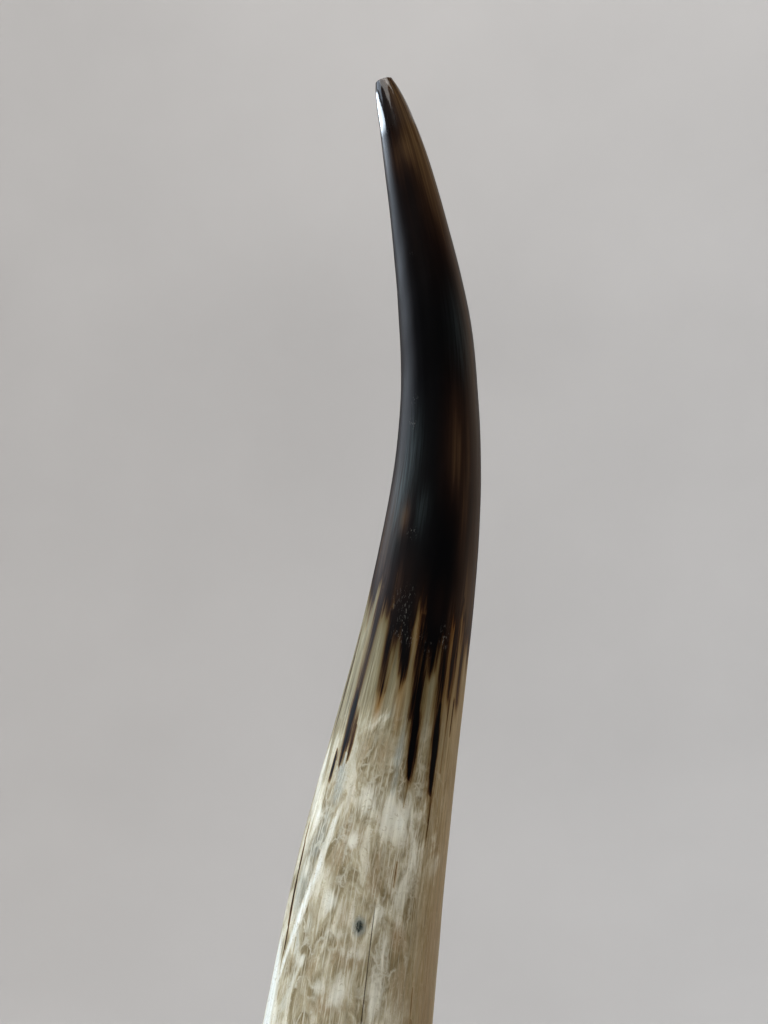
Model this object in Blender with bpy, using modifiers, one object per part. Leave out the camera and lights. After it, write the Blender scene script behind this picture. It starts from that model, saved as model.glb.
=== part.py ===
"""Mounted longhorn horns: a pair of polished horns on a leather-wrapped wooden core that hangs on a wall.

Metres, +Z up, +X to the viewer's right, -Y towards the viewer. The origin is the middle of the back board's
rear face, which lies against the wall. Everything from one horn's tip to the other's follows one spine.
"""

import math

import bmesh
import bpy
import numpy as np
from mathutils import Matrix, Vector

MM = 0.001
GAP = 0.3 * MM  # pieces that touch keep this much clear
FAR = 0.2  # how far a cutter reaches past what it cuts

# The horn grows from its tip, so its form is given by the distance from the tip, in metres.
HORN_LENGTH = 1.000
HALF_CORE = 0.100  # from the middle of the mount to each horn's base

# Distance from the tip, lift above the outward horizontal, turn towards the viewer, both in degrees.
HEADING = [
    (0.000, 108.0, -4.0),
    (0.015, 106.5, -4.5),
    (0.030, 103.5, -5.0),
    (0.060, 101.2, -6.5),
    (0.090, 99.2, -7.5),
    (0.115, 96.8, -8.5),
    (0.145, 91.5, -9.5),
    (0.175, 87.3, -10.5),
    (0.205, 83.3, -12.0),
    (0.240, 80.8, -13.5),
    (0.285, 78.4, -15.5),
    (0.335, 78.5, -18.0),
    (0.385, 81.0, -20.0),
    (0.430, 80.5, -19.0),
    (0.475, 75.0, -11.0),
    (0.535, 61.5, 5.0),
    (0.610, 43.0, 20.0),
    (0.700, 21.5, 28.0),
    (0.800, 2.0, 24.0),
    (0.890, -7.0, 9.0),
    (0.960, -7.0, 0.0),
    (0.965, -7.0, 0.0),  # straight inside the wrap, from here to the next row
    (1.016, -7.0, 0.0),
    (1.020, -7.0, 0.0),
    (1.100, 0.0, 0.0),
]

# Distance from the tip in metres, diameter in millimetres.
GIRTH = [
    (0.000, 5.2),
    (0.001, 6.6),
    (0.005, 9.7),
    (0.011, 12.6),
    (0.026, 16.9),
    (0.040, 20.1),
    (0.069, 25.0),
    (0.098, 29.4),
    (0.120, 32.3),
    (0.150, 34.6),
    (0.180, 37.8),
    (0.220, 43.0),
    (0.270, 48.6),
    (0.320, 55.6),
    (0.370, 62.3),
    (0.420, 66.6),
    (0.550, 77.0),
    (0.700, 87.0),
    (0.850, 95.2),
    (0.930, 98.0),
    (0.960, 98.4),
    (1.000, 98.4),
]

# No two horns match: the left one mirrors the right one, but climbs less steeply and reaches further forward.
LEFT_LIFT = -2.5
LEFT_FORWARD = 1.5

# The leather over the core: distance from the mount's middle in metres, outer diameter in millimetres.
WRAP_GIRTH = [(0.000, 119.0), (0.045, 117.5), (0.080, 109.5), (0.098, 105.6), (0.100, 105.6), (0.140, 105.6)]
WRAP_STATIONS = (0.0, 0.018, 0.036, 0.054, 0.070, 0.082, 0.090, 0.098)
WRAP_HALF = 0.130
LEATHER = 3.0 * MM
SEAM = 1.2 * MM

# The core's tenons fill the sockets in the horns' bases, with room for the glue.
SOCKET_DEPTH = 0.065
SOCKET_RADIUS = 43.0 * MM
TENON_RADIUS = 42.0 * MM

# The braided band round each end of the leather.
BRAID_MIDDLE = 0.1195
BRAID_WIDTH = 17.0 * MM
BRAID_THICKNESS = 4.6 * MM
BRAID_CROWN = 0.75  # how much of its thickness the band loses, squared, from its middle to its edges

# The wooden board on the flattened back, and the flat that it sits on.
BOARD_LENGTH = 0.190
BOARD_HEIGHT = 0.076
BOARD_THICKNESS = 14.0 * MM
BOARD_CORNER = 24.0 * MM
BOARD_EDGE = 1.5 * MM
FLAT_HALF_LENGTH = 0.0985
AXIS_TO_FLAT = 43.8 * MM
AXIS_TO_WALL = AXIS_TO_FLAT + GAP + BOARD_THICKNESS

# Wood screws that hold the board: place, and the profile from the head's face inwards.
SCREW_X = 0.077
SCREW_Z = 0.017
SCREW_HEAD = 4.2 * MM
SCREW_SHANK = 2.1 * MM
SCREW_COUNTERSINK = 3.0 * MM
SCREW_LENGTH = 40.0 * MM

# The steel keyhole plate let into the board, and its two short screws.
PLATE_WIDTH = 46.0 * MM
PLATE_HEIGHT = 30.0 * MM
PLATE_THICKNESS = 2.0 * MM
PLATE_Z = 19.0 * MM
KEY_Z = 14.5 * MM
KEY_RADIUS = 6.0 * MM
KEY_SLOT = 6.0 * MM
KEY_RISE = 10.5 * MM
POCKET_WIDTH = 16.0 * MM
POCKET_HEIGHT = 25.0 * MM
POCKET_DEPTH = 10.5 * MM
PLATE_SCREW_X = 17.0 * MM
PLATE_SCREW_HEAD = 3.0 * MM
PLATE_SCREW_SHANK = 1.4 * MM
PLATE_SCREW_COUNTERSINK = 1.6 * MM
PLATE_SCREW_LENGTH = 11.0 * MM

# How finely the round pieces are divided.
HORN_SIDES = 20
HORN_RINGS = 42
WRAP_SIDES = 28
SOCKET_RINGS = 5
TENON_RINGS = 16
BRAID_RINGS = 4
SCREW_SIDES = 12
CORNER_STEPS = 6
KEY_SIDES = 24


def clear_scene():
    """Empties the scene."""
    for old in list(bpy.data.objects):
        bpy.data.objects.remove(old)


def smooth(table, column, at):
    """Reads one column of a table as a smooth curve through its values."""
    xs = np.array([row[0] for row in table])
    ys = np.array([row[column] for row in table], float)
    slopes = np.gradient(ys, xs)
    at = np.asarray(at, float)
    i = np.clip(np.searchsorted(xs, at) - 1, 0, len(xs) - 2)
    span = xs[i + 1] - xs[i]
    s = np.clip((at - xs[i]) / span, 0, 1)
    rise = (1 + 2 * s) * (1 - s) ** 2 * ys[i] + s * s * (3 - 2 * s) * ys[i + 1]
    return rise + span * (s * (1 - s) ** 2 * slopes[i] + s * s * (s - 1) * slopes[i + 1])


def half_spine(side):
    """Walks one half of the spine from the mount's middle to a tip, a millimetre at a time."""
    out = np.arange(0, HALF_CORE + HORN_LENGTH + MM / 2, MM)
    from_tip = HALF_CORE + HORN_LENGTH - (out[:-1] + out[1:]) / 2
    lift = smooth(HEADING, 1, from_tip)
    forward = smooth(HEADING, 2, from_tip)
    if side < 0:
        # The left horn's own bend fades in along the elbow, so the mount itself stays symmetrical.
        fade = np.clip((out[1:] - WRAP_HALF) / HORN_LENGTH * 2, 0, 1)
        lift = lift + LEFT_LIFT * fade
        forward = forward + LEFT_FORWARD * fade
    lift, forward = np.radians(lift), np.radians(forward)
    along = np.stack(
        [side * np.cos(forward) * np.cos(lift), -np.sin(forward), np.cos(forward) * np.sin(lift)], axis=1
    )
    start = np.array([[0.0, -AXIS_TO_WALL, 0.0]])
    return out, np.concatenate([start, start + np.cumsum(along * MM, axis=0)])


SPINES = {side: half_spine(side) for side in (1, -1)}


def on_spine(distance):
    """The point of the spine at a signed distance from the mount's middle, positive to the right."""
    out, points = SPINES[1 if distance >= 0 else -1]
    return Vector([float(np.interp(abs(distance), out, points[:, k])) for k in range(3)])


def new_object(name, mesh, collection):
    """Puts a mesh in the scene under a name."""
    made = bpy.data.objects.new(name, mesh)
    collection.objects.link(made)
    return made


def tube(name, distances, radii, sides, collection):
    """A closed round solid that follows the spine, with its own radius at each distance."""
    curve = bpy.data.curves.new(name, "CURVE")
    curve.dimensions = "3D"
    curve.twist_mode = "MINIMUM"
    curve.bevel_depth = 1.0  # so that a point's radius is in metres
    curve.bevel_resolution = (sides - 4) // 2
    curve.use_fill_caps = True
    spline = curve.splines.new("POLY")
    spline.points.add(len(distances) - 1)
    for point, distance, radius in zip(spline.points, distances, radii):
        point.co = (*on_spine(distance), 1.0)
        point.radius = radius
    guide = new_object(name + "_guide", curve, collection)
    bpy.context.view_layer.update()
    graph = bpy.context.evaluated_depsgraph_get()
    mesh = bpy.data.meshes.new_from_object(guide.evaluated_get(graph))
    bpy.data.objects.remove(guide)
    shape = bmesh.new()
    shape.from_mesh(mesh)
    bmesh.ops.remove_doubles(shape, verts=shape.verts, dist=MM / 1000)
    bmesh.ops.recalc_face_normals(shape, faces=shape.faces)
    shape.to_mesh(mesh)
    shape.free()
    return new_object(name, mesh, collection)


def mount_stations(end):
    """Distances along the mount from end to end, with rings at the same places on every piece of it."""
    right = [*WRAP_STATIONS, end]
    return np.array([-distance for distance in reversed(right[1:])] + right)


def block(name, low, high, collection):
    """A box between two corners."""
    shape = bmesh.new()
    bmesh.ops.create_cube(shape, size=1.0)
    size = Vector(high) - Vector(low)
    bmesh.ops.scale(shape, vec=size, verts=shape.verts)
    bmesh.ops.translate(shape, vec=(Vector(high) + Vector(low)) / 2, verts=shape.verts)
    mesh = bpy.data.meshes.new(name)
    shape.to_mesh(mesh)
    shape.free()
    return new_object(name, mesh, collection)


def cylinder_y(name, x, z, radius, y_low, y_high, sides, collection):
    """A cylinder that runs along Y."""
    shape = bmesh.new()
    bmesh.ops.create_cone(
        shape, cap_ends=True, segments=sides, radius1=radius, radius2=radius, depth=y_high - y_low,
        matrix=Matrix.Translation((x, (y_low + y_high) / 2, z)) @ Matrix.Rotation(math.pi / 2, 4, "X"),
    )
    mesh = bpy.data.meshes.new(name)
    shape.to_mesh(mesh)
    shape.free()
    return new_object(name, mesh, collection)


def turned_screw(name, x, z, sizes, growth, collection):
    """A countersunk wood screw, or with growth the hole that clears it, driven from the back along -Y."""
    head, shank, countersink, length = sizes
    face = 2 * MM if growth else 0.0  # a hole's cutter stands out of the surface
    point = 3 * MM
    profile = [
        (0.0, face),
        (head + growth, face),
        (head + growth, 0.0),
        (shank + growth, -countersink),
        (shank + growth, point - length - growth),
        (0.0, -length - growth),
    ]
    if not growth:
        profile.pop(2)  # the head's own rim is sharp
    shape = bmesh.new()
    verts = [shape.verts.new((radius, 0.0, height)) for radius, height in profile]
    for first, second in zip(verts, verts[1:]):
        shape.edges.new((first, second))
    mesh = bpy.data.meshes.new(name)
    shape.to_mesh(mesh)
    shape.free()
    made = new_object(name, mesh, collection)
    made.location = (x, -GAP, z)
    made.rotation_euler = (-math.pi / 2, 0.0, 0.0)
    turn = made.modifiers.new("Turn", "SCREW")
    turn.axis = "Z"
    turn.steps = SCREW_SIDES
    turn.render_steps = SCREW_SIDES
    turn.use_merge_vertices = True
    turn.merge_threshold = MM / 100
    turn.use_smooth_shade = False
    return made


def boolean(target, other, operation):
    """Cuts another object from the target, or joins it on, and leaves the modifier in place."""
    step = target.modifiers.new(operation.title() + "_" + other.name, "BOOLEAN")
    step.operation = operation
    step.object = other
    step.solver = "EXACT"


def material(name, colour, roughness, metallic=0.0):
    """A plain finish."""
    made = bpy.data.materials.new(name)
    made.use_nodes = True
    shader = made.node_tree.nodes["Principled BSDF"]
    shader.inputs["Base Color"].default_value = (*colour, 1.0)
    shader.inputs["Roughness"].default_value = roughness
    shader.inputs["Metallic"].default_value = metallic
    return made


def finish(piece, finish_material, crease=math.radians(35)):
    """Gives a piece its material and smooth shading with sharp edges kept."""
    piece.data.materials.clear()
    piece.data.materials.append(finish_material)
    piece.data.shade_smooth()
    piece.data.set_sharp_from_angle(angle=crease)


def make_horn(name, side, parts, cutters, finish_material):
    """One horn: round, curved and tapering to a blunt cut tip, with a socket in its base."""
    share = np.linspace(0, 1, HORN_RINGS)
    from_tip = np.concatenate([[0.0, 1.0 * MM], HORN_LENGTH * share[1:] ** 1.5])
    radii = smooth(GIRTH, 1, from_tip) * MM / 2
    distances = side * (HALF_CORE + HORN_LENGTH - from_tip)
    horn = tube(name, distances, radii, HORN_SIDES, parts)
    reach = np.linspace(HALF_CORE - 10 * MM, HALF_CORE + SOCKET_DEPTH, SOCKET_RINGS)
    socket = tube(name + "_socket", side * reach, [SOCKET_RADIUS] * len(reach), HORN_SIDES, cutters)
    boolean(horn, socket, "DIFFERENCE")
    finish(horn, finish_material)
    return horn


def back_flat(name, depth, half_length, cutters):
    """A cutter that flattens the back of the mount at a depth behind its axis."""
    face = depth - AXIS_TO_WALL
    return block(name, (-half_length, face, -FAR), (half_length, face + FAR, FAR), cutters)


def make_core(parts, cutters, finish_material):
    """The turned wooden core, flat at the back, with a tenon for each horn."""
    distances = mount_stations(HALF_CORE - GAP)
    radii = smooth(WRAP_GIRTH, 1, abs(distances)) * MM / 2 - LEATHER - GAP
    core = tube("wood_core", distances, radii, WRAP_SIDES, parts)
    boolean(core, back_flat("core_flat", AXIS_TO_FLAT - LEATHER - GAP, FAR, cutters), "DIFFERENCE")
    end = HALF_CORE + SOCKET_DEPTH - GAP
    reach = np.linspace(-end, end, TENON_RINGS)
    tenons = tube("core_tenons", reach, [TENON_RADIUS] * len(reach), HORN_SIDES, cutters)
    flat_half = FLAT_HALF_LENGTH - LEATHER + GAP
    trim = back_flat("tenon_flat", AXIS_TO_FLAT - LEATHER - 1 * MM, flat_half, cutters)
    boolean(tenons, trim, "DIFFERENCE")
    boolean(core, tenons, "UNION")
    finish(core, finish_material)
    return core


def make_wrap(parts, cutters, finish_material):
    """The leather sleeve over the core and the horns' bases, with its seam down the back."""
    distances = mount_stations(WRAP_HALF)
    radii = smooth(WRAP_GIRTH, 1, abs(distances)) * MM / 2
    wrap = tube("leather_wrap", distances, radii, WRAP_SIDES, parts)
    boolean(wrap, back_flat("wrap_flat", AXIS_TO_FLAT, FLAT_HALF_LENGTH, cutters), "DIFFERENCE")
    longer = mount_stations(WRAP_HALF + 5 * MM)
    inner_radii = smooth(WRAP_GIRTH, 1, abs(longer)) * MM / 2 - LEATHER
    inner = tube("wrap_inside", longer, inner_radii, WRAP_SIDES, cutters)
    inner_half = FLAT_HALF_LENGTH - LEATHER
    boolean(inner, back_flat("wrap_inside_flat", AXIS_TO_FLAT - LEATHER, inner_half, cutters), "DIFFERENCE")
    boolean(wrap, inner, "DIFFERENCE")
    behind_axis = -AXIS_TO_WALL + AXIS_TO_FLAT / 2
    seam = block("wrap_seam", (-FAR, behind_axis, -SEAM / 2), (FAR, FAR, SEAM / 2), cutters)
    boolean(wrap, seam, "DIFFERENCE")
    finish(wrap, finish_material)
    return wrap


def make_braid(name, side, parts, cutters, finish_material):
    """The braided leather band that hides the cut edge of the wrap."""
    share = np.linspace(-1, 1, 2 * BRAID_RINGS + 1)
    distances = side * (BRAID_MIDDLE + share * BRAID_WIDTH / 2)
    inside = smooth(WRAP_GIRTH, 1, BRAID_MIDDLE) * MM / 2 + GAP
    crown = np.sqrt(1 - BRAID_CROWN * share**2)
    band = tube(name, distances, inside + BRAID_THICKNESS * crown, WRAP_SIDES, parts)
    through = side * (BRAID_MIDDLE + np.linspace(-1.5, 1.5, BRAID_RINGS) * BRAID_WIDTH)
    hole = tube(name + "_hole", through, [inside] * len(through), WRAP_SIDES, cutters)
    boolean(band, hole, "DIFFERENCE")
    finish(band, finish_material)
    return band


def make_board(parts, cutters, finish_material):
    """The hanging board, with a pocket for the keyhole plate and for the head of the wall's screw."""
    curve = bpy.data.curves.new("back_board", "CURVE")
    curve.dimensions = "2D"
    curve.fill_mode = "BOTH"
    curve.extrude = BOARD_THICKNESS / 2
    spline = curve.splines.new("POLY")
    outline = []
    for quarter in range(4):
        centre_x = (BOARD_LENGTH / 2 - BOARD_CORNER) * (1 if quarter in (0, 3) else -1)
        centre_y = (BOARD_HEIGHT / 2 - BOARD_CORNER) * (1 if quarter in (0, 1) else -1)
        for step in range(CORNER_STEPS + 1):
            angle = (quarter + step / CORNER_STEPS) * math.pi / 2
            x = centre_x + BOARD_CORNER * math.cos(angle)
            y = centre_y + BOARD_CORNER * math.sin(angle)
            outline.append((x, y))
    spline.points.add(len(outline) - 1)
    for point, (x, y) in zip(spline.points, outline):
        point.co = (x, y, 0.0, 1.0)
    spline.use_cyclic_u = True
    guide = new_object("board_guide", curve, cutters)
    bpy.context.view_layer.update()
    graph = bpy.context.evaluated_depsgraph_get()
    mesh = bpy.data.meshes.new_from_object(guide.evaluated_get(graph))
    bpy.data.objects.remove(guide)
    stand = Matrix.Translation((0, -BOARD_THICKNESS / 2, 0)) @ Matrix.Rotation(math.pi / 2, 4, "X")
    mesh.transform(stand)
    shape = bmesh.new()
    shape.from_mesh(mesh)
    bmesh.ops.remove_doubles(shape, verts=shape.verts, dist=MM / 1000)
    bmesh.ops.dissolve_limit(shape, angle_limit=math.radians(1), verts=shape.verts, edges=shape.edges)
    bmesh.ops.recalc_face_normals(shape, faces=shape.faces)
    shape.to_mesh(mesh)
    shape.free()
    board = new_object("back_board", mesh, parts)
    rounding = board.modifiers.new("Eased_edges", "BEVEL")
    rounding.width = BOARD_EDGE
    rounding.segments = 1
    rounding.angle_limit = math.radians(60)
    recess = block(
        "plate_recess",
        (-PLATE_WIDTH / 2 - GAP, -PLATE_THICKNESS - 2 * GAP, PLATE_Z - PLATE_HEIGHT / 2 - GAP),
        (PLATE_WIDTH / 2 + GAP, FAR, PLATE_Z + PLATE_HEIGHT / 2 + GAP),
        cutters,
    )
    boolean(board, recess, "DIFFERENCE")
    pocket = block(
        "head_pocket",
        (-POCKET_WIDTH / 2, -POCKET_DEPTH, PLATE_Z - POCKET_HEIGHT / 2),
        (POCKET_WIDTH / 2, FAR, PLATE_Z + POCKET_HEIGHT / 2),
        cutters,
    )
    boolean(board, pocket, "DIFFERENCE")
    finish(board, finish_material)
    return board


def make_plate(parts, cutters, finish_material):
    """The steel plate with the keyhole that drops over the wall's screw."""
    plate = block(
        "keyhole_plate",
        (-PLATE_WIDTH / 2, -PLATE_THICKNESS - GAP, PLATE_Z - PLATE_HEIGHT / 2),
        (PLATE_WIDTH / 2, -GAP, PLATE_Z + PLATE_HEIGHT / 2),
        parts,
    )
    entry = cylinder_y("key_entry", 0.0, KEY_Z, KEY_RADIUS, -FAR, FAR, KEY_SIDES, cutters)
    boolean(plate, entry, "DIFFERENCE")
    top = cylinder_y("key_top", 0.0, KEY_Z + KEY_RISE, KEY_SLOT / 2, -FAR, FAR, KEY_SIDES, cutters)
    boolean(plate, top, "DIFFERENCE")
    neck = block("key_neck", (-KEY_SLOT / 2, -FAR, KEY_Z), (KEY_SLOT / 2, FAR, KEY_Z + KEY_RISE), cutters)
    boolean(plate, neck, "DIFFERENCE")
    finish(plate, finish_material)
    return plate


def drive_screws(parts, cutters, board, wrap, core, plate, board_finish, plate_finish):
    """The screws, and the holes that they go through."""
    sizes = (SCREW_HEAD, SCREW_SHANK, SCREW_COUNTERSINK, SCREW_LENGTH)
    places = [(x, z) for x in (-SCREW_X, SCREW_X) for z in (-SCREW_Z, SCREW_Z)]
    for number, (x, z) in enumerate(places, start=1):
        finish(turned_screw(f"board_screw_{number}", x, z, sizes, 0.0, parts), board_finish)
        hole = turned_screw(f"board_hole_{number}", x, z, sizes, GAP, cutters)
        for pierced in (board, wrap, core):
            boolean(pierced, hole, "DIFFERENCE")
    sizes = (PLATE_SCREW_HEAD, PLATE_SCREW_SHANK, PLATE_SCREW_COUNTERSINK, PLATE_SCREW_LENGTH)
    for number, x in enumerate((-PLATE_SCREW_X, PLATE_SCREW_X), start=1):
        finish(turned_screw(f"plate_screw_{number}", x, PLATE_Z, sizes, 0.0, parts), plate_finish)
        hole = turned_screw(f"plate_hole_{number}", x, PLATE_Z, sizes, GAP, cutters)
        for pierced in (plate, board):
            boolean(pierced, hole, "DIFFERENCE")


def main():
    """Builds the mounted horns."""
    clear_scene()
    parts = bpy.data.collections.new("Mounted_horns")
    cutters = bpy.data.collections.new("Cutters")
    for collection in (parts, cutters):
        bpy.context.scene.collection.children.link(collection)

    horn_finish = material("Polished_horn", (0.42, 0.37, 0.27), 0.25)
    leather_finish = material("Brown_leather", (0.16, 0.07, 0.035), 0.6)
    braid_finish = material("Braided_leather", (0.08, 0.035, 0.02), 0.55)
    core_finish = material("Pine", (0.62, 0.45, 0.27), 0.7)
    board_finish = material("Walnut_stained_wood", (0.17, 0.085, 0.04), 0.55)
    steel_finish = material("Zinc_plated_steel", (0.62, 0.61, 0.58), 0.35, 1.0)
    brass_finish = material("Yellow_zinc_steel", (0.60, 0.47, 0.24), 0.35, 1.0)

    for name, side in (("horn_right", 1), ("horn_left", -1)):
        make_horn(name, side, parts, cutters, horn_finish)
    core = make_core(parts, cutters, core_finish)
    wrap = make_wrap(parts, cutters, leather_finish)
    for name, side in (("braid_right", 1), ("braid_left", -1)):
        make_braid(name, side, parts, cutters, braid_finish)
    board = make_board(parts, cutters, board_finish)
    plate = make_plate(parts, cutters, steel_finish)
    drive_screws(parts, cutters, board, wrap, core, plate, brass_finish, steel_finish)

    for cutter in cutters.objects:
        cutter.hide_render = True
        cutter.display_type = "WIRE"


main()
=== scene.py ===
import math

import bmesh
import bpy
import numpy as np
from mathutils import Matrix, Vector


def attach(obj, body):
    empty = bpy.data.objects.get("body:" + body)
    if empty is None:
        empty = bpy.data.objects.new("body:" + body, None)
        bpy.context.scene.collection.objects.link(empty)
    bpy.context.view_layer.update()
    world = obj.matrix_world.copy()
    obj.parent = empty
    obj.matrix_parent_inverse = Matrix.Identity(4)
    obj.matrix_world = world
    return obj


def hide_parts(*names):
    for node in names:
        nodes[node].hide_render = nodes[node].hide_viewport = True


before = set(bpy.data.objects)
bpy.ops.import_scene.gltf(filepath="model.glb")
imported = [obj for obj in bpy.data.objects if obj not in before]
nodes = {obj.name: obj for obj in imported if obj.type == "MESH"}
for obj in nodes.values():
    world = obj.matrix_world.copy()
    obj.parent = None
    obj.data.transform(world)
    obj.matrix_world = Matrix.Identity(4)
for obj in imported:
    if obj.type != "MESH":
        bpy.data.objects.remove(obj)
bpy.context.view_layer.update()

scene = bpy.context.scene

# The core is a turned pine block with a tenon at each end, glued into the horns. The leather covers it, so
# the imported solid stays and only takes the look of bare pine: growth rings round its length, dull and dry.

MM = 0.001
PINE_RING_SPACING = 3.5 * MM
WAVE_PERIOD = math.pi / 10  # a Wave node repeats after this many units at scale 1


def linear(code):
    """An sRGB hex colour as the linear RGBA that a shader takes."""
    srgb = [int(code[i : i + 2], 16) / 255 for i in (1, 3, 5)]
    return (*[c / 12.92 if c <= 0.04045 else ((c + 0.055) / 1.055) ** 2.4 for c in srgb], 1.0)


def new_finish(name):
    """A new material, its node tree and the shader that the nodes lead to."""
    made = bpy.data.materials.new(name)
    made.use_nodes = True
    return made, made.node_tree, made.node_tree.nodes["Principled BSDF"]


def add(kind, feeds=(), out=0, stops=(), **settings):
    """Adds a node to the tree in hand: feeds sets or links its inputs, in order or by name or number, and
    stops fills a ramp."""
    node = tree.nodes.new("ShaderNode" + kind)
    for name, value in settings.items():
        setattr(node, name, value)
    for key, value in feeds.items() if isinstance(feeds, dict) else enumerate(feeds):
        if isinstance(value, bpy.types.NodeSocket):
            tree.links.new(value, node.inputs[key])
        else:
            node.inputs[key].default_value = value
    if stops:
        ramp = node.color_ramp.elements
        while len(ramp) < len(stops):
            ramp.new(1.0)
        for element, (position, colour) in zip(ramp, stops):
            element.position = position
            element.color = linear(colour)
    return node.outputs[out]


def lead(**inputs):
    """Links outputs to the shader, or sets its sockets, by their names with underscores for spaces."""
    for name, value in inputs.items():
        socket = shader.inputs[name.replace("_", " ")]
        if isinstance(value, bpy.types.NodeSocket):
            tree.links.new(value, socket)
        else:
            socket.default_value = value


def dress(piece, finish):
    """Gives a piece one material."""
    piece.data.materials.clear()
    piece.data.materials.append(finish)


# Bare pine: pale yellow early wood, darker orange late wood, no gloss.
pine, tree, shader = new_finish("Pine, turned and bare")
place = add("TexCoord", out="Object")
rings = add("TexWave", {"Vector": place, "Scale": WAVE_PERIOD / PINE_RING_SPACING, "Distortion": 3,
                        "Detail": 3, "Detail Scale": 1.5}, wave_type="RINGS", rings_direction="X")
colour = add("ValToRGB", [rings], stops=[(0, "#E3C58F"), (0.6, "#D6B078"), (1, "#B98A50")])
bump = add("Bump", {"Strength": 0.4, "Distance": 0.2 * MM, "Height": rings})
lead(Base_Color=colour, Roughness=0.75, Normal=bump)
dress(nodes["wood_core"], pine)

# The two horns are steer horns, grown in one piece each and sanded and buffed to a satin polish. Pigment
# turns them near-black towards the tip, and ends in long fingers over mottled cream and khaki.

HORN_LENGTH = 1.000
HALF_CORE = 0.100
AXIS_TO_WALL = 0.0581
SOCKET_DEPTH = 0.065
SOCKET_RADIUS = 43.0 * MM
LEFT_LIFT = -2.5  # degrees by which the left horn lies lower
LEFT_FORWARD = 1.5  # and degrees by which it is turned further forward
WRAP_HALF = 0.130  # the leather's end; the left horn's own bend starts there

# Distance from the tip in metres, lift above the outward horizontal and turn towards the viewer in degrees.
HEADING = [
    (0.000, 108, -4), (0.015, 106.5, -4.5), (0.030, 103.5, -5), (0.060, 101.2, -6.5),
    (0.090, 99.2, -7.5), (0.115, 96.8, -8.5), (0.145, 91.5, -9.5), (0.175, 87.3, -10.5),
    (0.205, 83.3, -12), (0.240, 80.8, -13.5), (0.285, 78.4, -15.5), (0.335, 78.5, -18),
    (0.385, 81, -20), (0.430, 80.5, -19), (0.475, 75, -11), (0.535, 61.5, 5), (0.610, 43, 20),
    (0.700, 21.5, 28), (0.800, 2, 24), (0.890, -7, 9), (0.960, -7, 0), (0.965, -7, 0), (1.016, -7, 0),
    (1.020, -7, 0), (1.100, 0, 0),
]

# Distance from the tip in metres, diameter in millimetres.
GIRTH = [
    (0.000, 5.2), (0.001, 6.6), (0.005, 9.7), (0.011, 12.6), (0.026, 16.9), (0.040, 20.1), (0.069, 25),
    (0.098, 29.4), (0.120, 32.3), (0.150, 34.6), (0.180, 37.8), (0.220, 43), (0.270, 48.6),
    (0.320, 55.6), (0.370, 62.3), (0.420, 66.6), (0.550, 77), (0.700, 87), (0.850, 95.2), (0.930, 98),
    (0.960, 98.4), (1.000, 98.4),
]

# Angles round the horn are in degrees from its front, positive towards its outer curve. Distances along it
# are in millimetres from the tip, and widths in millimetres across.

# Where the dark pigment ends: angle, distance.
DARK_EDGE = [
    (-180, 240), (-150, 226), (-120, 250), (-100, 236), (-84, 242), (-75, 248), (-66, 254), (-60, 250),
    (-57, 238), (-53, 243), (-48, 250), (-43, 254), (-38, 258), (-35, 250), (-33, 238), (-31, 250),
    (-29, 262), (-25, 272), (-20, 275), (-16, 272), (-12, 268), (-6, 262), (-2, 252), (2, 253),
    (6, 262), (12, 273), (17, 279), (21, 271), (25, 267), (30, 263), (33, 257), (38, 255), (44, 262),
    (50, 250), (55, 256), (60, 264), (66, 258), (72, 270), (80, 260), (90, 266), (110, 246), (130, 238),
    (155, 252), (180, 240),
]

# Dark fingers that run on past that edge: from, to, angle at each end, width.
FINGERS = [
    (240, 258, -38, -37, 2.8), (256, 291, -28, -24.6, 2.7), (256, 284, -14, -7.5, 4),
    (256, 300, 5, 8, 2), (268, 326, 8.6, 14, 2.6), (262, 280, 18, 17, 3.6), (256, 328, 31, 36, 2.1),
    (252, 287, 44, 42, 2.3), (246, 300, -48, -51, 1.7), (250, 288, 57, 58, 1.6),
]

# Streaks that narrow at both ends: from, to, angle at each end, width, strength.
DARK_STREAKS = [
    (262, 300, -49, -52, 2.8, 0.6), (288, 326, -51, -49, 4.4, 0.84),
    (298, 324, -43.5, -41.5, 2.6, 0.85), (258, 314, -77, -75, 2.2, 0.7),
    (316, 333, -57.5, -56.5, 2.2, 1), (288, 330, 33.5, 36.5, 3.4, 1.4), (292, 326, 12, 14, 3.4, 1.4),
    (320, 352, 37, 39.5, 2, 0.55), (286, 304, 52, 53, 1.4, 0.5), (280, 332, 45, 47, 1, 0.35),
    (348, 402, -71.5, -65.5, 2, 0.85), (322, 340, 14, 13, 1.2, 0.45),
]

# Soft patches: distance, angle, half length, half width, strength.
# At about 70°, between 40 and 280 mm from the tip, these patches also stand in for light through the thin
# outer edge and the backdrop's reflection: painted light.
THIN_AND_EDGE_GLOW = [
    (30, 0, 40, 30, 0.17), (37, 37, 32, 5.6, 0.8), (12, 28, 13, 3.6, 0.56), (39, 4, 8, 3, 0.7),
    (42, -24, 12, 9, 0.36), (58, 42, 26, 5, 0.46), (84, 50, 34, 5, 0.14), (76, 15, 34, 9, 0.36),
    (44, 68, 60, 6, 0.44), (110, 70, 70, 7, 0.36), (158, 72, 60, 6, 0.34), (222, 68, 60, 8, 0.44),
    (163, 22, 24, 6, 0.46), (187, 20, 22, 6.4, 0.56), (164, 48, 34, 3, 0.14), (208, 37, 36, 3.2, 0.56),
    (252, 62, 30, 7, 0.52), (244, 48, 22, 2.2, 0.62), (213, -38, 10, 3.6, 0.62),
    (228, -67, 36, 5.4, 0.6), (246, -50, 16, 3, 0.5), (202, -52, 30, 7, 0.34),
    (120, -66, 100, 8, 0.3), (252, -3, 14, 3, 0.5), (256, 34, 14, 2.6, 0.6), (244, -27, 16, 6, 0.5),
    (250, 16, 12, 3, 0.3),
]
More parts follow.
